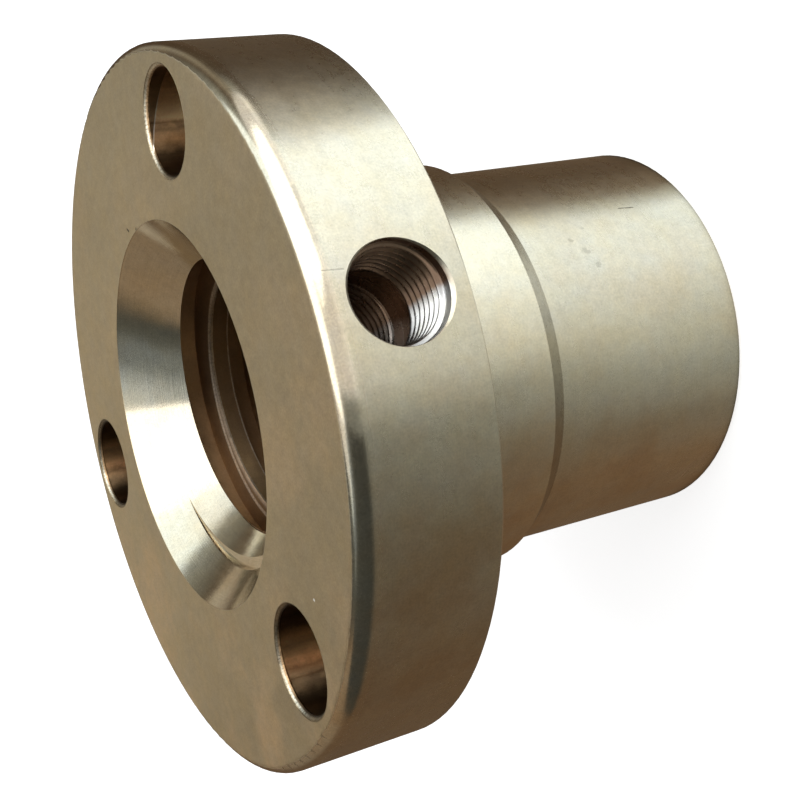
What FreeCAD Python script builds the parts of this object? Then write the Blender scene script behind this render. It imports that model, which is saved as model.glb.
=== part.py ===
import FreeCAD, Part
import math
import os

# A flanged lead screw nut, turned from one bar of bronze: round flange, pilot collar, long body, and a
# coarse left hand trapezoidal thread that runs out in a wide lead-in cone. Lengths in millimetres.
# The nut's axis is Z and its front face looks along +Z. Z = 0 is the flange's back face, which seats
# on the machine. The grease port looks along +X.

# flange
flange_radius = 40.0
flange_thickness = 15.5
front_edge_radius = 1.2
back_edge_break = 0.3

# pilot collar and body behind the flange
collar_radius = 24.25
collar_length = 17.25
bevel_length = 2.25
body_radius = 22.75
overall_length = 61.0
body_edge_break = 0.5

# screw thread, 36 x 6 left hand
thread_pitch = 6.0
crest_radius = 15.0
root_clearance = 0.2
flank_angle = 15.0
thread_phase_height = 16.09

# lead-in at each end of the bore
cone_mouth_radius = 21.75
cone_half_angle = 42.9
exit_clearance = 0.5

# fixing holes in the flange
bolt_count = 3
bolt_hole_radius = 5.5
bolt_hole_to_rim = 2.25
bolt_hole_chamfer = 0.4
first_bolt_angle = 57.25

# tapped grease port through the rim
port_radius = 5.0
port_chamfer = 0.35
port_height = 7.1
port_tapped_depth = 8.6
port_relief_length = 3.9
port_relief_depth = 1.0
port_floor_wall = 3.0
drill_point_half_angle = 59.0
passage_radius = 2.0

# how far a cutting solid runs past the surface that it opens
overrun = 1.0

# the bore is cut in quarter turns, and its seams and the sweep's start keep clear of holes and port
bore_cuts = 4
seam_angle = 20.0

front_face = flange_thickness
body_end = flange_thickness - overall_length
bevel_end = -collar_length - bevel_length
root_radius = crest_radius + thread_pitch / 2.0 + root_clearance
pitch_line_radius = crest_radius + thread_pitch / 4.0
cone_depth = (cone_mouth_radius - crest_radius) / math.tan(math.radians(cone_half_angle))
exit_radius = root_radius + exit_clearance
exit_depth = exit_radius - crest_radius
bolt_circle_radius = flange_radius - bolt_hole_to_rim - bolt_hole_radius
port_relief_start = flange_radius - port_tapped_depth
port_relief_end = port_relief_start - port_relief_length
port_relief_radius = port_radius + port_relief_depth
port_floor = root_radius + port_floor_wall


def vec(x, y, z):
    return FreeCAD.Vector(x, y, z)


def closed_wire(points):
    return Part.makePolygon(points + points[:1])


def edge_round():
    """The quarter round between rim and front face, as two arcs."""
    centre_radius = flange_radius - front_edge_radius
    centre_height = front_face - front_edge_radius
    points = []
    for step in range(5):
        angle = math.radians(22.5 * step)
        radius = centre_radius + front_edge_radius * math.cos(angle)
        height = centre_height + front_edge_radius * math.sin(angle)
        points.append(vec(radius, 0, height))
    lower = Part.Arc(points[0], points[1], points[2])
    upper = Part.Arc(points[2], points[3], points[4])
    return [lower.toShape(), upper.toShape()]


def turned_blank():
    """The bar turned to its outside shape, before it is bored."""
    up_to_rim = [
        vec(0, 0, front_face),
        vec(0, 0, body_end),
        vec(body_radius - body_edge_break, 0, body_end),
        vec(body_radius, 0, body_end + body_edge_break),
        vec(body_radius, 0, bevel_end),
        vec(collar_radius, 0, -collar_length),
        vec(collar_radius, 0, 0),
        vec(flange_radius - back_edge_break, 0, 0),
        vec(flange_radius, 0, back_edge_break),
        vec(flange_radius, 0, front_face - front_edge_radius),
    ]
    edges = [Part.makeLine(a, b) for a, b in zip(up_to_rim, up_to_rim[1:])]
    edges += edge_round()
    edges.append(Part.makeLine(vec(flange_radius - front_edge_radius, 0, front_face), up_to_rim[0]))
    profile = Part.Face(Part.Wire(edges))
    return profile.revolve(vec(0, 0, 0), vec(0, 0, 1), 360)


def bore_cutters():
    """Lead-in cone, bore and exit chamfer, as cutters of a part turn each that close the circle."""
    slope = math.tan(math.radians(cone_half_angle))
    section = closed_wire([
        vec(0, 0, body_end - overrun),
        vec(exit_radius + overrun, 0, body_end - overrun),
        vec(crest_radius, 0, body_end + exit_depth),
        vec(crest_radius, 0, front_face - cone_depth),
        vec(cone_mouth_radius + overrun * slope, 0, front_face + overrun),
        vec(0, 0, front_face + overrun),
    ])
    turn = 360.0 / bore_cuts
    cutters = []
    for index in range(bore_cuts):
        cutter = Part.Face(section).revolve(vec(0, 0, 0), vec(0, 0, 1), turn)
        cutter.rotate(vec(0, 0, 0), vec(0, 0, 1), seam_angle + index * turn)
        cutters.append(cutter)
    return cutters


def bolt_hole():
    """One fixing hole along Z with a chamfer at both faces, on the axis."""
    wide = bolt_hole_radius + bolt_hole_chamfer
    section = [
        vec(0, 0, -overrun),
        vec(wide + overrun, 0, -overrun),
        vec(bolt_hole_radius, 0, bolt_hole_chamfer),
        vec(bolt_hole_radius, 0, front_face - bolt_hole_chamfer),
        vec(wide + overrun, 0, front_face + overrun),
        vec(0, 0, front_face + overrun),
    ]
    return Part.Face(closed_wire(section)).revolve(vec(0, 0, 0), vec(0, 0, 1), 360)


def bolt_holes():
    cutters = []
    for index in range(bolt_count):
        angle = math.radians(first_bolt_angle + index * 360.0 / bolt_count)
        cutter = bolt_hole()
        cutter.translate(vec(bolt_circle_radius * math.cos(angle), bolt_circle_radius * math.sin(angle), 0))
        cutters.append(cutter)
    return cutters


def port_cutter():
    """The grease port: tapped hole, relief, tapped hole again, drill point and passage to the thread."""
    point_length = (port_radius - passage_radius) / math.tan(math.radians(drill_point_half_angle))
    outside = flange_radius + overrun
    section = [
        vec(crest_radius - overrun, 0, 0),
        vec(crest_radius - overrun, 0, passage_radius),
        vec(port_floor - point_length, 0, passage_radius),
        vec(port_floor, 0, port_radius),
        vec(port_relief_end, 0, port_radius),
        vec(port_relief_end, 0, port_relief_radius),
        vec(port_relief_start, 0, port_relief_radius),
        vec(port_relief_start, 0, port_radius),
        vec(flange_radius - port_chamfer, 0, port_radius),
        vec(outside, 0, port_radius + port_chamfer + overrun),
        vec(outside, 0, 0),
    ]
    cutter = Part.Face(closed_wire(section)).revolve(vec(0, 0, 0), vec(1, 0, 0), 360)
    cutter.translate(vec(0, 0, port_height))
    return cutter


def thread_groove():
    """The space between the threads: a trapezoid swept down a left hand helix, out of both ends."""
    slope = math.tan(math.radians(flank_angle))
    inner_radius = crest_radius - overrun
    half_root = thread_pitch / 4.0 - (root_radius - pitch_line_radius) * slope
    half_mouth = thread_pitch / 4.0 + (pitch_line_radius - inner_radius) * slope
    highest = thread_phase_height - thread_pitch * seam_angle / 360.0
    turns = math.ceil((highest - body_end + half_mouth) / thread_pitch)
    path = Part.makeLongHelix(thread_pitch, turns * thread_pitch, pitch_line_radius, 0, True)
    section = closed_wire([
        vec(inner_radius, 0, -half_mouth),
        vec(root_radius, 0, -half_root),
        vec(root_radius, 0, half_root),
        vec(inner_radius, 0, half_mouth),
    ])
    groove = Part.Wire(path).makePipeShell([section], True, True)
    groove.rotate(vec(0, 0, 0), vec(0, 0, 1), seam_angle)
    groove.translate(vec(0, 0, highest - turns * thread_pitch))
    return groove


def nut_body():
    body = turned_blank()
    body = body.cut(bore_cutters())
    body = body.cut(bolt_holes())
    body = body.cut(port_cutter())
    return body.cut(thread_groove())


os.makedirs("parts", exist_ok=True)
nut_body().exportStep("parts/nut_body.step")
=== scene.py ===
"""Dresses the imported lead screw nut: satin turned bronze, the fine thread of its grease port, and a
plain white studio.

Everything is in metres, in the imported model's frame: Z is the nut's axis, the lead-in cone opens upwards,
the flange's back face is at Z = 0 and the grease port looks along +X.
"""

import math

import bpy
import numpy as np
from mathutils import Matrix


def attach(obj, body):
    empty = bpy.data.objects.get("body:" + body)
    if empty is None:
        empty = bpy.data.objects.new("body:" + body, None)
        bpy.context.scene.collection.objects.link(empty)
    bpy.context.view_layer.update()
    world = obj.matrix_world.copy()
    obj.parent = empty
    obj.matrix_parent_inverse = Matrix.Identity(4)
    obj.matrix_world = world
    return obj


bl_info = {
    "name": "Turned bronze lead screw nut",
    "version": (1, 0, 0),
    "blender": (4, 5, 0),
    "location": "3D View > Sidebar > Screw Nut",
    "description": "Gives the nut its turned bronze finish, its port thread and a studio",
    "category": "Object",
}

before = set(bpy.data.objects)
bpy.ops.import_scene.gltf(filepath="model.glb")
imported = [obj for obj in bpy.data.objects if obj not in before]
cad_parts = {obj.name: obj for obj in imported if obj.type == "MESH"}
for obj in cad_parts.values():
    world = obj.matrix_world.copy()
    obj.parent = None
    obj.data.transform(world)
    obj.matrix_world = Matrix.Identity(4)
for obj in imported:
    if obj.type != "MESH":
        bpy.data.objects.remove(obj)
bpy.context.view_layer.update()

BODY = "nut_body"
FINISH = "bronze_turned"
MM = 0.001

# forms of the solid that the finish follows
FACE_Z = 15.5 * MM
FLANGE_R = 40.0 * MM
COLLAR_R = 24.25 * MM
BARREL_R = 22.75 * MM
CONE_MOUTH_R = 21.75 * MM
CREST_R = 15.0 * MM
ROOT_R = 18.2 * MM
CONE_FOOT_Z = FACE_Z - 7.26 * MM
CONE_SLOPE = 0.929
COLLAR_END_Z = -17.25 * MM
BEVEL_END_Z = -19.5 * MM
BODY_END_Z = -45.5 * MM
BODY_BREAK = 0.5 * MM
EDGE_ROUND = 1.2 * MM
BACK_EDGE = 0.3 * MM
BOLT_CIRCLE_R = 32.25 * MM
BOLT_ANGLES = (57.25, 177.25, 297.25)
BOLT_HOLE_R = 5.5 * MM
BOLT_CHAMFER_R = 5.9 * MM
THREAD_PITCH = 6.0 * MM
THREAD_PHASE_Z = 16.09 * MM
PORT_Z = 7.1 * MM
PORT_MOUTH_R = 5.35 * MM
RELIEF_R = 6.0 * MM
RELIEF_START_X = 27.5 * MM
RELIEF_END_X = 31.4 * MM

# the two threaded stretches of the port: name, start and end along X
PORT_THREADS = (
    ("port_thread_outer", RELIEF_END_X + 0.05 * MM, 38.7 * MM),
    ("port_thread_inner", 21.8 * MM, RELIEF_START_X - 0.05 * MM),
)

# the worn run-out of the edge round into the rim: its length, and how far the surface leans where it ends
EDGE_RUN_OUT = 1.5 * MM
EDGE_RUN_OUT_DEGREES = 26.0
# how late the lean grows over the round itself: above 1 the round is flatter at the rim
EDGE_BEND = 1.5

# what the zone group says about a point
ZONES = ("Radius", "Height", "Angle", "Face", "Cone", "Bore", "Holes", "Port", "Port Distance", "Port Lit",
         "Hole Side", "Hole Edge", "Turn")

# sockets of the node groups that hold a vector
VECTORS = ("Position", "Start", "End", "Normal")

# marks that the photograph shows. A place is a radius, degrees round the axis and a height, and a mark
# has a start, an end, a width in millimetres and a strength.
DARK_MARKS = (
    ((BARREL_R, 14.3, -27.0 * MM), (BARREL_R, 13.7, -27.3 * MM), 0.55, 0.22),
    ((BARREL_R, 18.3, -25.8 * MM), (BARREL_R, 18.2, -25.9 * MM), 0.45, 0.25),
    ((BARREL_R, 9.1, -27.8 * MM), (BARREL_R, 9.4, -28.0 * MM), 0.50, 0.20),
    ((BARREL_R, 21.8, -28.2 * MM), (BARREL_R, 21.7, -28.3 * MM), 0.35, 0.18),
    ((BARREL_R, 27.2, -34.8 * MM), (BARREL_R, 26.8, -36.8 * MM), 0.14, 0.50),
    ((FLANGE_R, 4.1, 14.0 * MM), (FLANGE_R, 3.9, 12.0 * MM), 0.12, 0.28),
    ((FLANGE_R, 16.2, 13.7 * MM), (FLANGE_R, 12.5, 13.7 * MM), 0.30, 0.16),
    ((FLANGE_R, 12.5, 13.7 * MM), (FLANGE_R, 8.2, 13.6 * MM), 0.40, 0.12),
    ((23.1 * MM, 95.4, FACE_Z), (22.7 * MM, 94.6, FACE_Z), 0.24, 0.85),
    ((21.9 * MM, 88.4, FACE_Z), (21.9 * MM, 87.6, FACE_Z), 0.20, 0.70),
)
BRIGHT_MARKS = (
    ((32.45 * MM, -46.1, FACE_Z), (32.5 * MM, -46.1, FACE_Z), 0.24, 1.0),
)

# tints of what the metal mirrors. A tone is a tint times a brightness.
WHITE = (1.0, 1.0, 1.0)
BROWN = (1.0, 0.66, 0.40)
WARM = (1.0, 0.77, 0.54)
DULL = (1.0, 0.89, 0.70)
PALE = (1.0, 1.05, 0.97)
COOL = (1.0, 1.12, 1.18)

# painted light and shade on the wall of a fixing hole, from its -Y side at 0 to its +Y side at 1
HOLE_LIGHT_STOPS = (
    (0.0, 0.06, WHITE),
    (0.3, 0.1, WHITE),
    (0.5, 0.6, WHITE),
    (0.54, 0.42, WHITE),
    (0.63, 1.0, WHITE),
    (0.82, 1.0, WHITE),
    (0.91, 0.25, WHITE),
    (1.0, 0.1, WHITE),
)

# the room that the metal mirrors, as broad areas. The photograph's metal guided their tones, which were
# then made fewer, rounded and changed. Round the nut, in degrees from the camera's azimuth, lie a
# brown side, a grey middle, a bright window, and brown again. First on the far floor:
FAR_STOPS = (
    (-180.0, 0.12, BROWN),
    (-105.0, 0.17, BROWN),
    (-75.0, 0.18, WARM),
    (-45.0, 0.2, DULL),
    (-15.0, 0.34, PALE),
    (0.0, 0.8, PALE),
    (60.0, 1.75, COOL),
    (76.0, 1.75, COOL),
    (85.0, 0.5, PALE),
    (100.0, 0.11, WARM),
    (125.0, 0.09, BROWN),
    (180.0, 0.12, BROWN),
)
# the same on the floor near the nut
NEAR_STOPS = (
    (-180.0, 0.15, BROWN),
    (-95.0, 0.24, BROWN),
    (-60.0, 0.27, DULL),
    (-30.0, 0.45, PALE),
    (0.0, 0.8, PALE),
    (40.0, 1.3, COOL),
    (75.0, 1.3, COOL),
    (85.0, 0.65, PALE),
    (95.0, 0.23, WARM),
    (125.0, 0.12, BROWN),
    (180.0, 0.15, BROWN),
)
# up the walls, heights in metres. The side wall is dark with one pale strip, and grows white above it
SIDE_STOPS = (
    (0.0, 0.06, PALE),
    (0.24, 0.08, PALE),
    (0.34, 0.13, PALE),
    (0.37, 0.3, COOL),
    (0.39, 0.3, COOL),
    (0.44, 0.14, COOL),
    (0.6, 0.95, COOL),
    (0.66, 1.4, COOL),
)
END_STOPS = (
    (0.0, 0.34, PALE),
    (0.2, 0.24, PALE),
    (0.36, 0.4, PALE),
)
BACK_STOPS = (
    (0.05, 0.5, DULL),
    (0.12, 0.56, DULL),
    (0.5, 0.28, DULL),
    (0.8, 0.26, DULL),
)
# the corner is warm at its foot and dark above
CORNER_STOPS = (
    (0.04, 0.26, WARM),
    (0.21, 0.36, WARM),
    (0.27, 0.13, DULL),
    (0.3, 0.11, PALE),
    (0.55, 0.14, PALE),
    (0.8, 0.26, PALE),
)
# the right wall is warm at its foot, then dark, and a window starts sharply at 0.19
RIGHT_STOPS = (
    (0.02, 0.3, DULL),
    (0.06, 0.35, DULL),
    (0.09, 0.16, WARM),
    (0.11, 0.16, DULL),
    (0.18, 0.4, PALE),
    (0.2, 1.6, COOL),
    (0.36, 1.6, COOL),
)

# a ColorRamp holds nothing over 1, so a card's tones are divided by this and its glow multiplied by it
CARD_GAIN = 2.5
WALL_R = 0.215
# cards that stand round the nut: name, first and last azimuth, top, tones by height, and the heights
# between which the floor's tones give way to them
WALL_CARDS = (
    ("card_side", -98.0, -22.0, 0.66, SIDE_STOPS, (-0.045, 0.0)),
    ("card_side_near", -22.0, -13.0, 0.44, SIDE_STOPS, (-0.045, 0.0)),
    ("card_side_end", -13.0, -3.0, 0.36, END_STOPS, (-0.045, 0.0)),
    ("card_corner", -159.0, -98.0, 0.80, CORNER_STOPS, (0.02, 0.06)),
    ("card_back", 152.0, 201.0, 0.80, BACK_STOPS, (0.02, 0.06)),
    ("card_right", 88.0, 152.0, 0.36, RIGHT_STOPS, (0.02, 0.05)),
)
# the floor card: its inner radius, where the near tones give way to the far ones, how far from the axis
# the metal mirrors it, and a ring of painted shade at the nut's foot
FLOOR_CARD_R = 22.6 * MM
FLOOR_BLEND = (0.050, 0.085)
FLOOR_FOOT = 11.5 * MM
CONTACT_SHADOW_RING = (23.0 * MM, 23.6 * MM)

# the lamps: name, azimuth, elevation, distance, width, height and strength
LAMPS = (
    ("key", 55.0, 24.0, 0.50, 0.46, 0.42, 1.75),
    ("top", 78.0, 68.0, 0.50, 0.50, 0.46, 1.75),
)
LAMP_COLOUR = (0.93, 0.98, 1.0)


# helpers for meshes

def make_mesh(name, points, quads):
    """A mesh object from an array of points and an array of four-cornered faces."""
    mesh = bpy.data.meshes.new(name)
    mesh.vertices.add(len(points))
    mesh.vertices.foreach_set("co", np.ascontiguousarray(points, np.float32).ravel())
    mesh.loops.add(quads.size)
    mesh.loops.foreach_set("vertex_index", np.ascontiguousarray(quads, np.int32).ravel())
    mesh.polygons.add(len(quads))
    mesh.polygons.foreach_set("loop_start", np.arange(0, quads.size, 4, dtype=np.int32))
    mesh.polygons.foreach_set("loop_total", np.full(len(quads), 4, np.int32))
    mesh.update(calc_edges=True)
    mesh.validate()
    mesh.polygons.foreach_set("use_smooth", np.ones(len(quads), bool))
    obj = bpy.data.objects.new(name, mesh)
    bpy.context.scene.collection.objects.link(obj)
    return obj


def grid_quads(rows, columns, wrap_rows=False, wrap_columns=False):
    """Faces of a grid of points: each joins a point with its neighbours in the next row and column."""
    r = np.arange(rows if wrap_rows else rows - 1)
    c = np.arange(columns if wrap_columns else columns - 1)
    r, c = [a.ravel() for a in np.meshgrid(r, c, indexing="ij")]
    r1, c1 = (r + 1) % rows, (c + 1) % columns
    return np.stack([r * columns + c, r * columns + c1, r1 * columns + c1, r1 * columns + c], 1)


def smooth_step(t):
    """0 below 0, 1 above 1, and 3t squared less 2t cubed between."""
    t = np.clip(t, 0.0, 1.0)
    return t * t * (3.0 - 2.0 * t)


def fine_thread(name, x_low, x_high, root, crest, pitch, steps_round=128, steps_pitch=14):
    """A ring of thread ridges lining the port, about an axis along X.

    Inside, the radius at angle a and place x is the root less the ridge's height times a wave of
    (x - pitch times a / one turn), a right hand thread, flattened at top and bottom. The ridge fades
    out over the last third of a pitch at both ends. Outside, the ring is a plain wall at the root.
    """
    count = max(int(round((x_high - x_low) / pitch * steps_pitch)), 8)
    x = np.linspace(x_low, x_high, count + 1)
    a = np.linspace(0.0, 2.0 * math.pi, steps_round, endpoint=False)
    x_grid, a_grid = np.meshgrid(x, a, indexing="ij")
    run_out = 0.35 * pitch
    turn = (x_grid / pitch - a_grid / (2.0 * math.pi)) % 1.0
    # the wave goes past 0 and 1 and is cut there, which flattens roots and crests
    wave_top, wave_drop = 1.18, 2.72
    ridge = np.clip(wave_top - np.abs(turn - 0.5) * wave_drop, 0.0, 1.0)
    fade = smooth_step((x_grid - x_low) / run_out) * smooth_step((x_high - x_grid) / run_out)
    inner = root - (root - crest) * ridge * fade
    outer = np.full((2, steps_round), root + 0.01 * MM)
    radius = np.vstack([inner, outer])
    place = np.vstack([x_grid, np.full((1, steps_round), x_high), np.full((1, steps_round), x_low)])
    angle = np.vstack([a_grid, a[None, :], a[None, :]])
    points = np.stack([place, radius * np.cos(angle), radius * np.sin(angle) + PORT_Z], -1)
    quads = grid_quads(count + 3, steps_round, wrap_rows=True, wrap_columns=True)
    return make_mesh(name, points.reshape(-1, 3), quads[:, ::-1])


# helpers for materials

def rgba(colour):
    return tuple(colour) + (1.0,)


class Tree:
    """Short calls for adding and joining shader nodes."""

    def __init__(self, tree):
        self.tree = tree

    def add(self, kind, **values):
        node = self.tree.nodes.new(kind)
        for key, value in values.items():
            setattr(node, key, value)
        return node

    def link(self, a, b):
        self.tree.links.new(a, b)

    def feed(self, sockets, values):
        """Joins each value to its socket, or sets the socket where the value is a constant."""
        for socket, value in zip(sockets, values):
            if isinstance(value, bpy.types.NodeSocket):
                self.link(value, socket)
            elif value is not None:
                socket.default_value = value

    def math(self, operation, a, b=None, clamp=False):
        node = self.add("ShaderNodeMath", operation=operation, use_clamp=clamp)
        self.feed(node.inputs, (a, b))
        return node.outputs[0]

    def chain(self, operation, values):
        """The first value with the second, that with the third, and so on."""
        total = values[0]
        for value in values[1:]:
            total = self.math(operation, total, value)
        return total

    def times(self, *values):
        return self.chain("MULTIPLY", values)

    def plus(self, *values):
        return self.chain("ADD", values)

    def most(self, *values):
        return self.chain("MAXIMUM", values)

    def minus(self, a, b):
        return self.math("SUBTRACT", a, b)

    def over(self, a, b):
        return self.math("DIVIDE", a, b)

    def off(self, a, b):
        """How far a is from b, either way."""
        return self.math("ABSOLUTE", self.minus(a, b))

    def length(self, a, b):
        return self.math("SQRT", self.plus(self.times(a, a), self.times(b, b)))

    def swing(self, noise, amount):
        """A noise from 0 to 1 as a swing about 0."""
        return self.times(self.minus(noise, 0.5), amount)

    def vector(self, operation, a, b=None):
        node = self.add("ShaderNodeVectorMath", operation=operation)
        self.feed(node.inputs, (a, b))
        return node.outputs[1] if operation in ("LENGTH", "DISTANCE", "DOT_PRODUCT") else node.outputs[0]

    def scale(self, colour, value):
        node = self.add("ShaderNodeVectorMath", operation="SCALE")
        self.feed((node.inputs[0], node.inputs["Scale"]), (colour, value))
        return node.outputs[0]

    def combine(self, x, y, z):
        node = self.add("ShaderNodeCombineXYZ")
        self.feed(node.inputs, (x, y, z))
        return node.outputs[0]

    def split(self, vector):
        node = self.add("ShaderNodeSeparateXYZ")
        self.link(vector, node.inputs[0])
        return node.outputs[:3]

    def noise(self, vector, scale, detail=2.0, roughness=0.5):
        node = self.add("ShaderNodeTexNoise")
        sockets = [node.inputs[name] for name in ("Vector", "Scale", "Detail", "Roughness")]
        self.feed(sockets, (vector, scale, detail, roughness))
        return node.outputs[0]

    def ramp(self, value, low, high, to_low=0.0, to_high=1.0, smooth=True):
        node = self.add("ShaderNodeMapRange", interpolation_type="SMOOTHSTEP" if smooth else "LINEAR")
        self.feed(node.inputs, (value, low, high, to_low, to_high))
        return node.outputs[0]

    def mix(self, factor, a, b):
        node = self.add("ShaderNodeMix", data_type="RGBA")
        self.feed((node.inputs[0], node.inputs[6], node.inputs[7]), (factor, a, b))
        return node.outputs[2]

    def mix_value(self, factor, a, b):
        node = self.add("ShaderNodeMix", data_type="FLOAT")
        self.feed((node.inputs[0], node.inputs[2], node.inputs[3]), (factor, a, b))
        return node.outputs[0]

    def group(self, group, **values):
        """A node that runs the group. An input's name is written with _ for each space."""
        node = self.add("ShaderNodeGroup", node_tree=group)
        sockets = [node.inputs[name.replace("_", " ")] for name in values]
        self.feed(sockets, values.values())
        return node.outputs

    def surface(self, shader):
        """Ends the tree with that shader."""
        out = self.add("ShaderNodeOutputMaterial")
        self.link(shader.outputs[0], out.inputs["Surface"])


def new_material(name):
    """A material with an empty tree, and the calls for that tree."""
    material = bpy.data.materials.new(name)
    material.use_nodes = True
    material.node_tree.nodes.clear()
    return material, Tree(material.node_tree)


def new_group(name, inputs, outputs):
    """A shader node group. Its sockets hold a float, or a vector where their name is in VECTORS."""
    group = bpy.data.node_groups.new(name, "ShaderNodeTree")
    for way, labels in (("INPUT", inputs), ("OUTPUT", outputs)):
        for label in labels:
            kind = "NodeSocketVector" if label in VECTORS else "NodeSocketFloat"
            group.interface.new_socket(label, in_out=way, socket_type=kind)
    tree = Tree(group)
    return tree, tree.add("NodeGroupInput").outputs, tree.add("NodeGroupOutput").inputs


def tone_ramp(t, value, stops, gain=1.0):
    """Tones along a line. A stop is a place, a brightness and a tint. The first and last are its ends."""
    low, high = stops[0][0], stops[-1][0]
    ramp = t.add("ShaderNodeValToRGB")
    while len(ramp.color_ramp.elements) < len(stops):
        ramp.color_ramp.elements.new(0.5)
    for element, (place, brightness, tint) in zip(ramp.color_ramp.elements, stops):
        element.position = (place - low) / (high - low)
        element.color = rgba(brightness * c / gain for c in tint)
    t.link(t.ramp(value, low, high, smooth=False), ramp.inputs[0])
    return ramp.outputs[0]


# node groups of the bronze

def cone_mask(t, radius, z):
    """The lead-in cone. The thread's run-out in it lies above the bore and inside the mouth."""
    inside = t.ramp(radius, CONE_MOUTH_R + 0.1 * MM, CONE_MOUTH_R - 0.1 * MM)
    cone_radius = t.plus(CREST_R, t.times(t.minus(z, CONE_FOOT_Z), CONE_SLOPE))
    on_cone = t.ramp(t.off(radius, cone_radius), 0.35 * MM, 0.1 * MM)
    run_out = t.ramp(z, CONE_FOOT_Z + 0.9 * MM, CONE_FOOT_Z + 1.6 * MM)
    return t.times(inside, t.most(on_cone, run_out), t.ramp(z, CONE_FOOT_Z - 0.2 * MM, CONE_FOOT_Z))


def bolt_hole_masks(t, x, y, z):
    """The fixing holes, the place across them from -1 at -Y to 1 at +Y, and their chamfers."""
    holes, sides, edges = [], [], []
    flat = t.combine(x, y, 0.0)
    for degrees in BOLT_ANGLES:
        a = math.radians(degrees)
        centre_x, centre_y = BOLT_CIRCLE_R * math.cos(a), BOLT_CIRCLE_R * math.sin(a)
        off_hole = t.vector("DISTANCE", flat, t.combine(centre_x, centre_y, 0.0))
        across = t.over(t.minus(y, centre_y), BOLT_HOLE_R)
        holes.append(t.ramp(off_hole, BOLT_HOLE_R + 0.25 * MM, BOLT_HOLE_R + 0.05 * MM))
        sides.append(t.times(t.ramp(off_hole, BOLT_CHAMFER_R + 0.5 * MM, BOLT_CHAMFER_R + 0.3 * MM), across))
        edges.append(t.ramp(off_hole, BOLT_CHAMFER_R + 0.15 * MM, BOLT_CHAMFER_R))
    hole = t.times(t.most(*holes), t.ramp(z, FACE_Z - 0.05 * MM, FACE_Z - 0.3 * MM))
    edge = t.times(t.most(*edges), t.ramp(z, FACE_Z - 0.6 * MM, FACE_Z - 0.4 * MM))
    return hole, t.plus(*sides), edge


def port_masks(t, x, y, z, radius):
    """The grease port, the distance from its axis, and where its thread gets painted light rather than
    painted shadow.
    """
    dz = t.minus(z, PORT_Z)
    off_port = t.length(y, dz)
    port = t.times(t.ramp(off_port, RELIEF_R + 0.2 * MM, RELIEF_R + 0.1 * MM),
                   t.ramp(radius, FLANGE_R - 0.1 * MM, FLANGE_R - 0.4 * MM),
                   t.ramp(x, ROOT_R + 0.5 * MM, ROOT_R + 1.0 * MM))
    threads = t.most(t.ramp(x, RELIEF_END_X - 0.1 * MM, RELIEF_END_X),
                     t.times(t.ramp(x, RELIEF_START_X + 0.1 * MM, RELIEF_START_X), 0.5))
    # painted light on the lower thread; the rest of the port lies in painted shadow of the mouth's edge
    painted_lit = t.times(t.ramp(y, 0.6 * MM, -0.2 * MM), t.ramp(dz, 1.0 * MM, -1.0 * MM), threads)
    return port, off_port, painted_lit


def zone_group():
    """Masks of the nut's parts at a point. Radius and Height are its distance from the axis and its z."""
    t, source, result = new_group("Nut zones", ("Position",), ZONES)
    x, y, z = t.split(source[0])
    radius = t.length(x, y)
    angle = t.math("ARCTAN2", y, x)
    face = t.times(t.ramp(z, FACE_Z - 0.12 * MM, FACE_Z - 0.04 * MM),
                   t.ramp(radius, CONE_MOUTH_R - 0.1 * MM, CONE_MOUTH_R))
    cone = cone_mask(t, radius, z)
    bore = t.times(t.ramp(radius, ROOT_R + 0.8 * MM, ROOT_R + 0.6 * MM), t.minus(1.0, cone))
    hole, hole_side, hole_edge = bolt_hole_masks(t, x, y, z)
    port, off_port, painted_lit = port_masks(t, x, y, z, radius)
    # millimetres along the thread's pitch, 0 in the middle of its groove
    phase = t.plus(t.minus(z, THREAD_PHASE_Z), t.times(angle, THREAD_PITCH / (2.0 * math.pi)))
    turn = t.times(t.math("FRACT", t.over(phase, THREAD_PITCH)), THREAD_PITCH / MM)
    # in the order of ZONES
    t.feed(result, (radius, z, angle, face, cone, bore, hole, port, off_port, painted_lit,
                    hole_side, hole_edge, turn))
    return t.tree


def turning_group(fine=9000.0, length=1.2):
    """Tool marks round the axis: noise that is fine along radius and height and long round the circle."""
    t, source, result = new_group("Turning marks", ("Radius", "Height", "Angle"), ("Lines", "Bands"))
    radius, height, angle = source[:3]
    # sine and cosine of the angle close the pattern where the circle meets itself
    c = t.times(t.math("COSINE", angle), length)
    s = t.times(t.math("SINE", angle), length)
    along = t.plus(radius, height)
    lines = t.noise(t.combine(t.times(along, fine), c, s), 1.0, 3.0, 0.6)
    bands = t.noise(t.combine(t.times(along, fine * 0.12), c, s), 1.0, 2.0, 0.5)
    t.feed(result, (lines, bands))
    return t.tree


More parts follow.
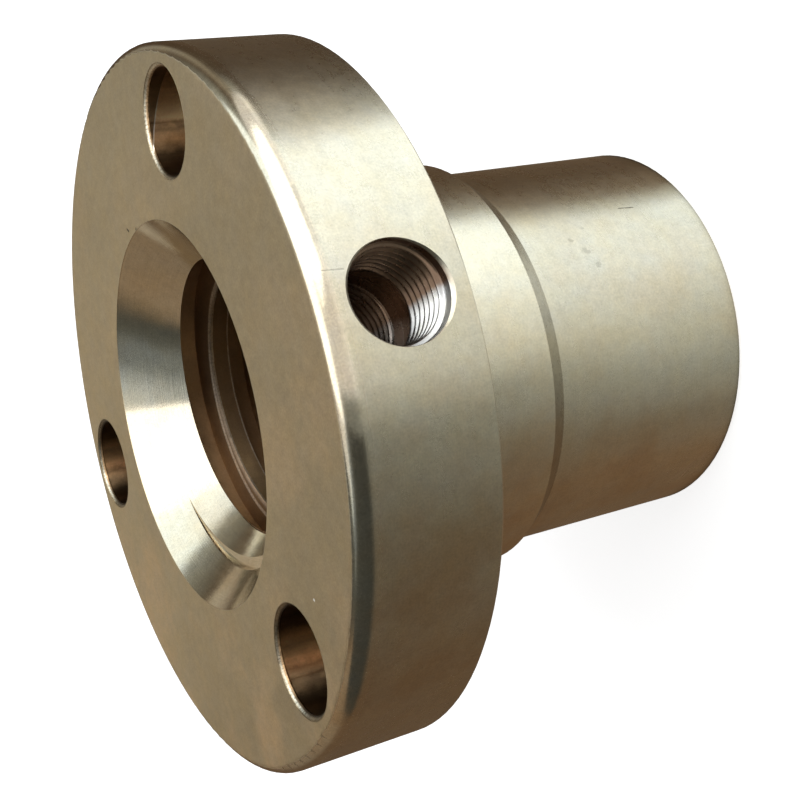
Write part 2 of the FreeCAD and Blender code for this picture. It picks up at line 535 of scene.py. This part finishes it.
def smooth_normal_group():
    """The exact normal of rim, edge round, collar and body, in the nut's own axes, and where it holds.

    The normal leans from the radius towards +Z by an angle e. Up to the edge round e is e1 t squared, where
    t runs from 0 to 1 over the worn run-out below it. On the round itself, whose own angle is g, it is
    e1 + (90 degrees - e1) (g / 90 degrees) to the power EDGE_BEND.
    """
    t, source, result = new_group("Smooth normals", ("Position", "Radius", "Height", "Port Distance"),
                                  ("Normal", "Share", "Edge"))
    position, radius, height, off_port = source[:4]
    round_z, round_r = FACE_Z - EDGE_ROUND, FLANGE_R - EDGE_ROUND
    first = math.radians(EDGE_RUN_OUT_DEGREES)
    below = t.ramp(height, round_z - EDGE_RUN_OUT, round_z, smooth=False)
    up = t.most(t.minus(height, round_z), 0.0)
    out = t.most(t.minus(radius, round_r), 1e-7)
    g = t.over(t.math("ARCTAN2", up, out), math.pi / 2.0)
    lean = t.plus(t.times(below, below, first), t.times(t.math("POWER", g, EDGE_BEND), math.pi / 2.0 - first))
    x, y, _ = t.split(position)
    flat = t.vector("NORMALIZE", t.combine(x, y, 0.0))
    normal = t.vector("ADD", t.scale(flat, t.math("COSINE", lean)), t.combine(0.0, 0.0, t.math("SINE", lean)))
    share = t.times(t.ramp(radius, round_r - 0.1 * MM, round_r, smooth=False),
                    t.ramp(height, BACK_EDGE + 0.02 * MM, BACK_EDGE + 0.06 * MM, smooth=False),
                    t.ramp(off_port, PORT_MOUTH_R + 0.01 * MM, PORT_MOUTH_R + 0.05 * MM, smooth=False))
    tubes = ((COLLAR_R, COLLAR_END_Z, 0.0), (BARREL_R, BODY_END_Z + BODY_BREAK, BEVEL_END_Z))
    for tube_r, low, high in tubes:
        on_tube = t.math("LESS_THAN", t.off(radius, tube_r), 0.03 * MM)
        inside = t.times(t.math("GREATER_THAN", height, low), t.math("LESS_THAN", height, high))
        share = t.most(share, t.times(on_tube, inside))
    edge = t.times(t.math("SQRT", below), t.ramp(radius, round_r, round_r + 0.1 * MM))
    t.feed(result, (normal, share, edge))
    return t.tree


def mark_group():
    """A scratch or pit: 1 on the line from Start to End, falling to 0 at Width, with a ragged edge."""
    t, source, result = new_group("Surface mark", ("Position", "Start", "End", "Width"), ("Mark",))
    position, start, end, width = source[:4]
    line = t.vector("SUBTRACT", end, start)
    away = t.vector("SUBTRACT", position, start)
    squared = t.most(t.vector("DOT_PRODUCT", line, line), 1e-12)
    share = t.math("DIVIDE", t.vector("DOT_PRODUCT", away, line), squared, clamp=True)
    distance = t.vector("LENGTH", t.vector("SUBTRACT", away, t.scale(line, share)))
    ragged = t.times(width, t.ramp(t.noise(position, 3500.0, 2.0, 0.6), 0.3, 0.7, 0.45, 1.25, smooth=False))
    t.feed(result, (t.ramp(distance, ragged, t.times(ragged, 0.35)),))
    return t.tree


def mark_place(radius, degrees, height):
    a = math.radians(degrees)
    return radius * math.cos(a), radius * math.sin(a), height


def all_marks(t, position, marks):
    """The strongest of the listed marks, each times its own strength, at this place."""
    group = mark_group()
    found = []
    for start, end, width, strength in marks:
        here = t.group(group, Position=position, Start=mark_place(*start), End=mark_place(*end),
                       Width=width * MM)
        found.append(t.times(here[0], strength))
    return t.most(*found)


# the bronze

class Surface:
    """What all parts of the bronze work with: the tree, the place of a point, its zones and its noises."""

    def __init__(self, t):
        self.t = t
        coordinates = t.add("ShaderNodeTexCoord")
        self.position = coordinates.outputs["Object"]
        self.normal = coordinates.outputs["Normal"]
        self.x, self.y, _ = t.split(self.position)
        self.zone = t.group(zone_group(), Position=self.position)
        radius, height, angle = self.zone[:3]
        self.lines, self.bands = t.group(turning_group(), Radius=radius, Height=height, Angle=angle)[:2]
        self.mottle = t.noise(self.position, 900.0, 4.0, 0.6)
        self.grain = t.noise(self.position, 4200.0, 2.0, 0.6)
        # where the upper fixing hole is, and not the lower two
        self.upper = t.ramp(self.y, 14.0 * MM, 16.0 * MM)


def hole_colour(s, settings):
    """The drilled holes: painted light and shade across the wall with random streaks, and in the upper one a
    slanting ring of painted highlight with painted shade above it.
    """
    t, side = s.t, s.zone["Hole Side"]
    # painted light and shade: the wall's lit and shaded tones by side, shifted by each hole's place; the
    # streaks are the wall's own
    across = t.plus(t.ramp(side, -1.0, 1.0, smooth=False), t.swing(s.mottle, 0.10),
                    t.times(s.y, -3.5), t.minus(0.016, s.x))
    streaks = t.noise(t.vector("MULTIPLY", s.position, (2600.0, 2600.0, 160.0)), 1.0, 3.0, 0.6)
    painted_lit = t.times(tone_ramp(t, across, HOLE_LIGHT_STOPS), t.plus(1.0, t.swing(streaks, 0.4)))
    # depths in millimetres: that of the ring, and how much more it is per hole radius towards +Y
    ring_depth, ring_slant = 0.45, 1.4
    upper_hole = t.times(s.zone["Holes"], s.upper)
    depth = t.times(t.minus(FACE_Z, s.zone["Height"]), 1.0 / MM)
    past_ring = t.minus(depth, t.plus(ring_depth, t.times(side, ring_slant)))
    # painted shade on the upper hole's wall above the ring
    painted_shade_above_ring = t.times(upper_hole, t.ramp(past_ring, 0.02, -0.06))
    painted_lit = t.times(painted_lit, t.minus(1.0, t.times(painted_shade_above_ring, 0.6)))
    # painted highlight: the bright slanting ring in the upper hole
    painted_ring_highlight = t.times(t.ramp(t.off(past_ring, 0.0), 0.10, 0.03), upper_hole, t.ramp(side, 0.95, 0.6, 0.0, 0.75))
    return t.mix(painted_ring_highlight, t.scale(tuple(settings.hole_colour), painted_lit), rgba((0.95, 0.86, 0.72)))


def torn_and_lit_chamfer(s):
    """How light a fixing hole's chamfer is: torn all round, and in the lower holes painted light on one half,
    painted shade on the other.
    """
    t, side = s.t, s.zone["Hole Side"]
    torn = t.ramp(t.noise(s.position, 4400.0, 4.0, 0.7), 0.36, 0.60, 0.62, 1.12)
    # painted light and shade: the lower holes' chamfers are darker on their +Y half
    painted_lit_half = t.times(t.ramp(side, 0.10, -0.10, 0.40, 1.0), t.ramp(side, -0.95, -0.75, 0.45, 1.0))
    return t.times(torn, t.most(painted_lit_half, s.upper))


def thread_wear_and_highlight(s):
    """Where the thread is bright: wear and painted highlight along both edges of its crest, and a painted
    highlight line down its outer flank.
    """
    t, turn, radius = s.t, s.zone["Turn"], s.zone["Radius"]
    along = t.plus(turn, t.swing(t.noise(s.position, 300.0, 3.0, 0.6), 0.16))
    # the crest's edges: partly wear, partly painted highlight
    upper = t.times(t.ramp(along, 3.84, 3.94), t.ramp(along, 4.36, 4.16), 0.5)
    lower = t.times(t.ramp(along, 1.84, 1.93, 0.0, 0.5), t.ramp(along, 2.12, 2.0))
    edges = t.times(t.most(upper, lower), t.ramp(radius, CREST_R + 0.8 * MM, CREST_R + 0.4 * MM))
    # painted highlight: a bright line down the outer flank, further out on it towards -Y
    highlight_line_radius = t.ramp(s.y, 12.0 * MM, -10.0 * MM, CREST_R + 0.4 * MM, CREST_R + 1.2 * MM, smooth=False)
    line = t.times(t.ramp(t.off(radius, highlight_line_radius), 0.3 * MM, 0.08 * MM),
                   t.ramp(turn, 4.06, 4.12), t.ramp(turn, 5.06, 5.0))
    return t.times(t.most(edges, line), t.ramp(s.grain, 0.25, 0.55, 0.55, 1.0))


def bore_colour_light_and_shade(s, settings):
    """Crests, flanks and roots of the thread, with painted light on the crests towards -Y and painted shade
    towards the back of the bore.
    """
    t = s.t
    crest = t.ramp(s.zone["Radius"], CREST_R + 0.5 * MM, CREST_R + 0.05 * MM)
    # painted light: the crests lighter towards -Y
    crest_colour = t.scale(tuple(settings.crest_colour), t.ramp(s.y, 3.0 * MM, -7.0 * MM, 0.8, 1.55))
    colour = t.mix(crest, rgba(settings.root_colour), crest_colour)
    colour = t.mix(thread_wear_and_highlight(s), colour, rgba(settings.wear_and_highlight_colour))
    # painted shade: darker towards the back of the bore
    return t.scale(colour, t.ramp(s.zone["Height"], -12.0 * MM, 8.0 * MM, 0.5, 1.0))


def tarnish_share(s):
    """Brown tarnish in patches, most of it on the nut's -Y side and none in holes, port and bore."""
    t, zone = s.t, s.zone
    patches = t.noise(t.vector("ADD", s.position, (0.013, 0.007, 0.021)), 75.0, 4.0, 0.6)
    low_side = t.ramp(s.y, 12.0 * MM, -30.0 * MM, 0.25, 1.0)
    outside = t.math("SUBTRACT", 1.0, t.most(zone["Port"], zone["Bore"], zone["Holes"]), clamp=True)
    return t.times(t.ramp(patches, 0.42, 0.66), low_side, outside)


def collar_share(s):
    t, radius, height = s.t, s.zone["Radius"], s.zone["Height"]
    return t.times(t.ramp(radius, COLLAR_R - 0.1 * MM, COLLAR_R - 0.05 * MM),
                   t.ramp(radius, COLLAR_R + 0.2 * MM, COLLAR_R + 0.1 * MM),
                   t.ramp(height, 0.2 * MM, -0.2 * MM))


def bevel_share(s):
    t, radius, height = s.t, s.zone["Radius"], s.zone["Height"]
    return t.times(t.ramp(height, BEVEL_END_Z - 0.1 * MM, BEVEL_END_Z + 0.1 * MM),
                   t.ramp(height, COLLAR_END_Z + 0.1 * MM, COLLAR_END_Z - 0.1 * MM),
                   t.ramp(radius, 19.0 * MM, 21.0 * MM))


def bronze_tone(s, dark_marks):
    """How light the bronze is: noises of four sizes, a lighter collar, a darker bevel and painted light
    sloping across the face.
    """
    t, face, cone = s.t, s.zone["Face"], s.zone["Cone"]
    cloud = t.noise(s.position, 110.0, 3.0, 0.55)
    # painted light: the face lighter towards -X and -Y
    painted_face_light = t.plus(t.times(s.x, -3.4), t.times(s.y, -1.9))
    tone = t.plus(
        1.0,
        t.swing(cloud, 0.22),
        t.swing(s.mottle, t.mix_value(face, 0.30, 0.40)),
        t.swing(s.grain, 0.40),
        t.swing(s.lines, t.mix_value(face, t.mix_value(cone, 0.14, 0.34), 0.04)),
        t.times(collar_share(s), 0.12),
        t.times(bevel_share(s), -0.30),
        t.times(painted_face_light, face),
    )
    return t.times(tone, t.minus(1.0, dark_marks))


def bronze_colour(s, settings, tarnish, dark_marks):
    t, zone = s.t, s.zone
    colour = t.mix(zone["Face"], rgba(settings.bronze_colour), rgba(settings.face_colour))
    colour = t.mix(zone["Holes"], colour, hole_colour(s, settings))
    colour = t.mix(zone["Hole Edge"], colour, t.scale(colour, torn_and_lit_chamfer(s)))
    colour = t.mix(zone["Bore"], colour, bore_colour_light_and_shade(s, settings))
    # painted shadow and painted light in the port
    port_painted_light = t.mix(zone["Port Lit"], rgba(settings.port_shadow_colour), rgba(settings.port_lit_colour))
    colour = t.mix(zone["Port"], colour, port_painted_light)
    colour = t.mix(t.times(tarnish, settings.tarnish), colour, rgba(settings.tarnish_colour))
    hue = t.noise(t.vector("ADD", s.position, (0.03, 0.01, 0.05)), 260.0, 4.0, 0.65)
    warm = t.combine(t.plus(1.0, t.swing(hue, 0.10)), 1.0, t.minus(1.0, t.swing(hue, 0.26)))
    colour = t.scale(t.vector("MULTIPLY", colour, warm), bronze_tone(s, dark_marks))
    return t.mix(all_marks(t, s.position, BRIGHT_MARKS), colour, rgba(WHITE))


def bronze_roughness(s, settings, tarnish, edge):
    t, zone = s.t, s.zone
    rough = t.mix_value(edge, settings.satin_roughness, settings.edge_roughness)
    rough = t.mix_value(zone["Face"], rough, settings.face_roughness)
    rough = t.mix_value(zone["Cone"], rough, settings.cone_roughness)
    rough = t.mix_value(t.most(zone["Bore"], zone["Holes"]), rough, settings.hole_roughness)
    return t.plus(rough, t.swing(s.bands, 0.08), t.swing(s.mottle, 0.08), t.times(tarnish, 0.06))


def bronze_normal(s, exact, dark_marks):
    """The exact normal where there is one, roughened by turning marks, grain, marks and the torn chamfers."""
    t, zone = s.t, s.zone
    face = zone["Face"]
    height = t.plus(
        t.times(s.lines, t.mix_value(face, t.mix_value(zone["Cone"], 0.55, 0.9), 0.12)),
        t.times(s.grain, t.mix_value(face, 0.30, 0.60)),
        t.times(s.grain, zone["Hole Edge"], 9.0),
        t.times(dark_marks, -6.0),
    )
    turned = t.add("ShaderNodeVectorTransform", vector_type="NORMAL",
                   convert_from="OBJECT", convert_to="WORLD")
    t.link(t.mix(exact["Share"], s.normal, exact["Normal"]), turned.inputs[0])
    bump = t.add("ShaderNodeBump")
    sockets = [bump.inputs[name] for name in ("Strength", "Distance", "Height", "Normal")]
    t.feed(sockets, (1.0, 0.006 * MM, height, t.vector("NORMALIZE", turned.outputs[0])))
    return bump.outputs[0]


def brush_direction(s):
    """Turned surfaces are brushed round the axis, and the matt face has no direction of its own."""
    t = s.t
    radius = t.most(s.zone["Radius"], 1e-6)
    brushed = t.combine(t.over(t.times(s.y, -1.0), radius), t.over(s.x, radius), 0.0)
    scatter = t.add("ShaderNodeTexWhiteNoise", noise_dimensions="3D")
    t.link(t.scale(s.position, 60000.0), scatter.inputs[0])
    way = t.times(scatter.outputs[0], 2.0 * math.pi)
    loose = t.combine(t.math("COSINE", way), t.math("SINE", way), 0.0)
    return t.mix(s.zone["Face"], brushed, loose)


def bronze_material(settings):
    """Turned bronze: satin outside, matt front face, shinier cone with fine lines, browner bore and holes."""
    material, t = new_material(FINISH)
    s = Surface(t)
    exact = t.group(smooth_normal_group(), Position=s.position, Radius=s.zone["Radius"],
                    Height=s.zone["Height"], Port_Distance=s.zone["Port Distance"])
    tarnish = tarnish_share(s)
    dark_marks = all_marks(t, s.position, DARK_MARKS)
    shader = t.add("ShaderNodeBsdfPrincipled")
    looks = {
        "Metallic": 1.0,
        "Anisotropic": 0.75,
        "Anisotropic Rotation": 0.25,
        "Base Color": bronze_colour(s, settings, tarnish, dark_marks),
        "Roughness": bronze_roughness(s, settings, tarnish, exact["Edge"]),
        "Normal": bronze_normal(s, exact, dark_marks),
        "Tangent": brush_direction(s),
    }
    t.feed([shader.inputs[name] for name in looks], looks.values())
    t.surface(shader)
    return material


# the studio

def turn_about_z(v, degrees):
    a = math.radians(degrees)
    return np.array([v[0] * math.cos(a) - v[1] * math.sin(a), v[0] * math.sin(a) + v[1] * math.cos(a), v[2]])


def camera_pose(settings):
    """The camera's place and axes.

    It stands at the given distance from the middle of the front face, tilted from the nut's axis, and is
    rolled about its line of sight. It is then swung by the small turn that brings the middle of the
    front face to its place in the picture, left of centre.
    """
    tilt, roll = settings.camera_tilt, settings.camera_roll
    place = settings.camera_distance * np.array([math.sin(tilt), 0.0, math.cos(tilt)])
    forward = -place / np.linalg.norm(place)
    right = np.cross(forward, (0.0, 1.0, 0.0))
    right /= np.linalg.norm(right)
    axes = np.array([right, np.cross(forward, right), forward])
    c, s = math.cos(roll), math.sin(roll)
    axes = np.array([[c, -s, 0.0], [s, c, 0.0], [0.0, 0.0, 1.0]]) @ axes
    across, down = settings.face_offset
    aim = np.array([across, down, 1.0])
    aim /= np.linalg.norm(aim)
    v = np.cross((0.0, 0.0, 1.0), aim)
    k = np.array([[0.0, -v[2], v[1]], [v[2], 0.0, -v[0]], [-v[1], v[0], 0.0]])
    axes = (np.eye(3) + k + k @ k / (1.0 + aim[2])) @ axes
    turn = math.degrees(settings.camera_azimuth)
    axes = np.array([turn_about_z(row, turn) for row in axes])
    place = turn_about_z(place, turn) + (0.0, 0.0, FACE_Z)
    return place, axes


def add_camera(settings):
    place, (right, down, forward) = camera_pose(settings)
    data = bpy.data.cameras.new("camera")
    data.sensor_width = 36.0
    data.lens = settings.camera_lens
    data.clip_start, data.clip_end = 0.005, 20.0
    camera = bpy.data.objects.new("camera", data)
    bpy.context.scene.collection.objects.link(camera)
    m = np.eye(4)
    m[:3, 0], m[:3, 1], m[:3, 2], m[:3, 3] = right, -down, -forward, place
    camera.matrix_world = Matrix(m.tolist())
    bpy.context.scene.camera = camera
    return camera


def add_lamp(name, azimuth, elevation, distance, width, height, strength, camera_azimuth):
    """A large soft lamp that faces the nut, at an azimuth about its axis counted from the camera's."""
    data = bpy.data.lights.new(name, "AREA")
    data.shape = "RECTANGLE"
    data.size, data.size_y = width, height
    data.color = LAMP_COLOUR
    data.energy = strength * width * height * math.pi
    lamp = bpy.data.objects.new(name, data)
    bpy.context.scene.collection.objects.link(lamp)
    a, e = math.radians(azimuth + camera_azimuth), math.radians(elevation)
    back = np.array([math.cos(a) * math.cos(e), math.sin(a) * math.cos(e), math.sin(e)])
    x = np.cross((0.0, 0.0, 1.0), back)
    x /= np.linalg.norm(x)
    m = np.eye(4)
    m[:3, 0], m[:3, 1], m[:3, 2], m[:3, 3] = x, np.cross(back, x), back, back * distance
    lamp.matrix_world = Matrix(m.tolist())
    return lamp


def card_start(name, camera_azimuth):
    """A new card material. Returns it, its tree, and a point's azimuth, distance from the axis and height."""
    material, t = new_material(name)
    px, py, pz = t.split(t.add("ShaderNodeTexCoord").outputs["Object"])
    c, s = math.cos(math.radians(camera_azimuth)), math.sin(math.radians(camera_azimuth))
    x = t.plus(t.times(px, c), t.times(py, s))
    y = t.minus(t.times(py, c), t.times(px, s))
    return material, t, t.math("DEGREES", t.math("ARCTAN2", y, x)), t.length(px, py), pz


def card_glow(t, colour):
    """Ends a card's tree with a plain glow of that colour."""
    shader = t.add("ShaderNodeEmission")
    t.feed(shader.inputs, (colour, CARD_GAIN))
    t.surface(shader)


def wall_card_material(name, height_stops, blend, camera_azimuth):
    """A wall card's glow: the far floor's tones by azimuth at its foot, and the given stops above that."""
    material, t, azimuth, _, height = card_start(name, camera_azimuth)
    foot = tone_ramp(t, azimuth, FAR_STOPS, CARD_GAIN)
    card_glow(t, t.mix(t.ramp(height, *blend), foot, tone_ramp(t, height, height_stops, CARD_GAIN)))
    return material


def floor_card_material(name, camera_azimuth):
    """The floor card's glow by azimuth: the near stops close to the nut, the far ones further out.

    The card lies so close that what the nut mirrors in it comes from another side than the card's own
    place. So the azimuth is stretched by 1 / (1 - foot / distance from the axis). A thin ring of painted
    shade at the nut's foot darkens what the metal mirrors there.
    """
    material, t, azimuth, distance, _ = card_start(name, camera_azimuth)
    share = t.minus(1.0, t.over(FLOOR_FOOT, distance))
    azimuth = t.over(azimuth, t.math("MINIMUM", share, 0.87))
    near, far = tone_ramp(t, azimuth, NEAR_STOPS, CARD_GAIN), tone_ramp(t, azimuth, FAR_STOPS, CARD_GAIN)
    colour = t.mix(t.ramp(distance, *FLOOR_BLEND), near, far)
    # painted shade: the dark ring at the nut's foot
    card_glow(t, t.scale(colour, t.ramp(distance, *CONTACT_SHADOW_RING, 0.15, 1.0)))
    return material


def reflection_card(name, azimuths, radii, heights, material, camera_azimuth):
    """A card that only reflections show: a part of a cone about the nut's axis.

    It lies between two azimuths, counted from the camera's, and runs from an inner radius and height to an
    outer radius and height.
    """
    a = np.radians(np.linspace(*azimuths, 97) + camera_azimuth)
    r_grid, a_grid = np.meshgrid(np.linspace(*radii, 3), a, indexing="ij")
    z_grid = np.meshgrid(np.linspace(*heights, 3), a, indexing="ij")[0]
    points = np.stack([r_grid * np.cos(a_grid), r_grid * np.sin(a_grid), z_grid], -1).reshape(-1, 3)
    card = make_mesh(name, points, grid_quads(3, len(a)))
    card.data.materials.append(material)
    for rays in ("camera", "diffuse", "shadow", "transmission", "volume_scatter"):
        setattr(card, "visible_" + rays, False)
    return card


def white_where_seen(t, seen_strength, lit_strength):
    """Strength of a background: one value for camera, glossy and transmission rays, one for all others."""
    path = t.add("ShaderNodeLightPath").outputs
    seen = t.most(path["Is Camera Ray"], path["Is Glossy Ray"], path["Is Transmission Ray"])
    return t.mix_value(seen, lit_strength, seen_strength)


def add_world(settings):
    world = bpy.data.worlds.new("studio")
    world.use_nodes = True
    bpy.context.scene.world = world
    t = Tree(world.node_tree)
    t.tree.nodes.clear()
    back = t.add("ShaderNodeBackground")
    t.feed(back.inputs, (rgba(WHITE), white_where_seen(t, 1.0, settings.fill_strength)))
    out = t.add("ShaderNodeOutputWorld")
    t.link(back.outputs[0], out.inputs["Surface"])


def add_floor(settings, half=6.0):
    """A pale floor under the nut. Part of its white is its own, so that the shadow stays soft."""
    z = BODY_END_Z - 0.01 * MM
    points = np.array([[-half, -half, z], [half, -half, z], [half, half, z], [-half, half, z]])
    floor = make_mesh("floor", points, np.array([[0, 1, 2, 3]]))
    material, t = new_material("floor_white")
    matt = t.add("ShaderNodeBsdfDiffuse")
    t.feed(matt.inputs, (rgba((settings.floor_tone,) * 3),))
    glow = t.add("ShaderNodeEmission")
    t.feed(glow.inputs, (rgba(WHITE), white_where_seen(t, settings.floor_glow, 0.0)))
    both = t.add("ShaderNodeAddShader")
    t.feed(both.inputs, (matt.outputs[0], glow.outputs[0]))
    t.surface(both)
    floor.data.materials.append(material)
    return floor


# settings

def colour_setting(name, description, default):
    return bpy.props.FloatVectorProperty(
        name=name, description=description, subtype="COLOR", size=3, min=0.0, max=1.0, default=default)


def share_setting(name, description, default):
    return bpy.props.FloatProperty(name=name, description=description, default=default, min=0.0, max=1.0)


def length_setting(name, description, default):
    return bpy.props.FloatProperty(name=name, description=description, unit="LENGTH", default=default)


def angle_setting(name, description, degrees):
    return bpy.props.FloatProperty(
        name=name, description=description, subtype="ANGLE", default=math.radians(degrees))


class NutFinishSettings(bpy.types.PropertyGroup):
    bronze_colour: colour_setting("Bronze", "Colour of the satin turned bronze", (0.60, 0.54, 0.42))
    face_colour: colour_setting("Front face", "Colour of the matt front face", (0.41, 0.33, 0.21))
    # the holes' colour where their painted light is brightest
    hole_colour: colour_setting("Holes", "Colour of the drilled holes", (0.98, 0.61, 0.31))
    crest_colour: colour_setting("Thread crests", "Colour of the bore and the crests", (0.36, 0.235, 0.125))
    # colour of the worn edges and painted highlights on the main thread
    wear_and_highlight_colour: colour_setting("Worn edges", "Colour of the worn edges along the crests", (0.95, 0.84, 0.68))
    root_colour: colour_setting("Thread roots", "Colour of the thread's flanks and roots", (0.36, 0.24, 0.14))
    # painted shadow over the port's upper wall, and painted light on its lower thread
    port_shadow_colour: colour_setting("Port, stained", "Colour of the port under old grease", (0.24, 0.16, 0.11))
    port_lit_colour: colour_setting("Port, clean", "Colour of the port's bare thread", (0.52, 0.51, 0.49))
    tarnish_colour: colour_setting("Tarnish colour", "Colour of the brown patches", (0.56, 0.40, 0.24))
    tarnish: share_setting("Tarnish", "How strong the brown patches are", 0.6)
    satin_roughness: share_setting("Satin roughness", "Roughness of rim, collar and body", 0.28)
    face_roughness: share_setting("Face roughness", "Roughness of the front face", 0.50)
    edge_roughness: share_setting("Edge roughness", "Roughness of the polished front edge", 0.165)
    cone_roughness: share_setting("Cone roughness", "Roughness of the lead-in cone", 0.12)
    hole_roughness: share_setting("Bore roughness", "Roughness of bore, thread and holes", 0.34)


class PortThreadSettings(bpy.types.PropertyGroup):
    pitch: length_setting("Pitch", "Pitch of the port's fine thread", 1.0 * MM)
    root_radius: length_setting("Root radius", "Radius at the roots, the hole's wall", 4.985 * MM)
    crest_radius: length_setting("Crest radius", "Radius at the ridges' crests", 4.46 * MM)


class StudioSettings(bpy.types.PropertyGroup):
    camera_lens: bpy.props.FloatProperty(
        name="Lens", description="Focal length for a 36 mm sensor", default=59.5)
    camera_distance: length_setting("Camera distance", "From the middle of the front face", 147.73 * MM)
    camera_tilt: angle_setting("Camera tilt", "Angle from the nut's axis", 71.38)
    camera_roll: angle_setting("Camera roll", "Turn about the line of sight", -11.45)
    camera_azimuth: angle_setting("Camera azimuth", "Counted from the port's side", -10.15)
    face_offset: bpy.props.FloatVectorProperty(
        name="Place of the front face", size=2, default=(-0.16384, 0.01292),
        description="Its middle in the picture, right and down, over the focal length")
    fill_strength: bpy.props.FloatProperty(
        name="Fill", description="How much the surroundings light matt surfaces", default=0.55, min=0.0)
    floor_tone: share_setting("Floor tone", "How pale the floor is", 0.62)
    floor_glow: bpy.props.FloatProperty(
        name="Floor glow", default=0.72, min=0.0,
        description="Share of the floor's white that no shadow takes")


# operators

class NUT_OT_finish_body(bpy.types.Operator):
    """Give the nut's solid its turned bronze finish"""
    bl_idname = "nut.finish_body"
    bl_label = "Finish nut body"

    def execute(self, context):
        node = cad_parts.get(BODY)
        if node is None:
            raise RuntimeError("the frame has no nut body")
        node.data.materials.clear()
        node.data.materials.append(bronze_material(context.scene.nut_finish))
        return {"FINISHED"}


class NUT_OT_port_thread(bpy.types.Operator):
    """Cut the fine thread into both tapped stretches of the grease port"""
    bl_idname = "nut.port_thread"
    bl_label = "Grease port thread"

    def execute(self, context):
        s = context.scene.nut_port_thread
        for name, low, high in PORT_THREADS:
            piece = fine_thread(name, low, high, s.root_radius, s.crest_radius, s.pitch)
            piece.data.materials.append(bpy.data.materials[FINISH])
            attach(piece, "root")
        return {"FINISHED"}


class NUT_OT_studio(bpy.types.Operator):
    """Set up the pale floor, the soft lamps, the cards that the metal mirrors and the camera"""
    bl_idname = "nut.studio"
    bl_label = "Studio"

    def execute(self, context):
        s = context.scene.nut_studio
        turn = math.degrees(s.camera_azimuth)
        context.scene.view_settings.view_transform = "Standard"
        add_world(s)
        add_floor(s)
        for lamp in LAMPS:
            add_lamp(*lamp, turn)
        floor_z = BODY_END_Z + 0.02 * MM
        material = floor_card_material("card_floor", turn)
        reflection_card("card_floor", (-180.0, 180.0), (FLOOR_CARD_R, WALL_R), (floor_z, floor_z),
                        material, turn)
        for name, first, last, top, stops, blend in WALL_CARDS:
            material = wall_card_material(name, stops, blend, turn)
            reflection_card(name, (first, last), (WALL_R, WALL_R), (floor_z, top), material, turn)
        add_camera(s)
        return {"FINISHED"}


class NUT_PT_panel(bpy.types.Panel):
    bl_label = "Lead screw nut"
    bl_idname = "NUT_PT_panel"
    bl_space_type = "VIEW_3D"
    bl_region_type = "UI"
    bl_category = "Screw Nut"

    def draw(self, context):
        layout = self.layout
        for label, operator, group in (
            ("Body", "nut.finish_body", "nut_finish"),
            ("Port thread", "nut.port_thread", "nut_port_thread"),
            ("Studio", "nut.studio", "nut_studio"),
        ):
            box = layout.box()
            box.label(text=label)
            values = getattr(context.scene, group)
            for key in values.__annotations__:
                box.prop(values, key)
            box.operator(operator)


GROUPS = (
    ("nut_finish", NutFinishSettings),
    ("nut_port_thread", PortThreadSettings),
    ("nut_studio", StudioSettings),
)
CLASSES = (NUT_OT_finish_body, NUT_OT_port_thread, NUT_OT_studio, NUT_PT_panel)


def register():
    for name, group in GROUPS:
        bpy.utils.register_class(group)
        setattr(bpy.types.Scene, name, bpy.props.PointerProperty(type=group))
    for item in CLASSES:
        bpy.utils.register_class(item)


def unregister():
    for item in reversed(CLASSES):
        bpy.utils.unregister_class(item)
    for name, group in reversed(GROUPS):
        delattr(bpy.types.Scene, name)
        bpy.utils.unregister_class(group)


def main():
    register()
    bpy.ops.nut.finish_body()
    bpy.ops.nut.port_thread()
    bpy.ops.nut.studio()


if __name__ == "__main__":
    main()
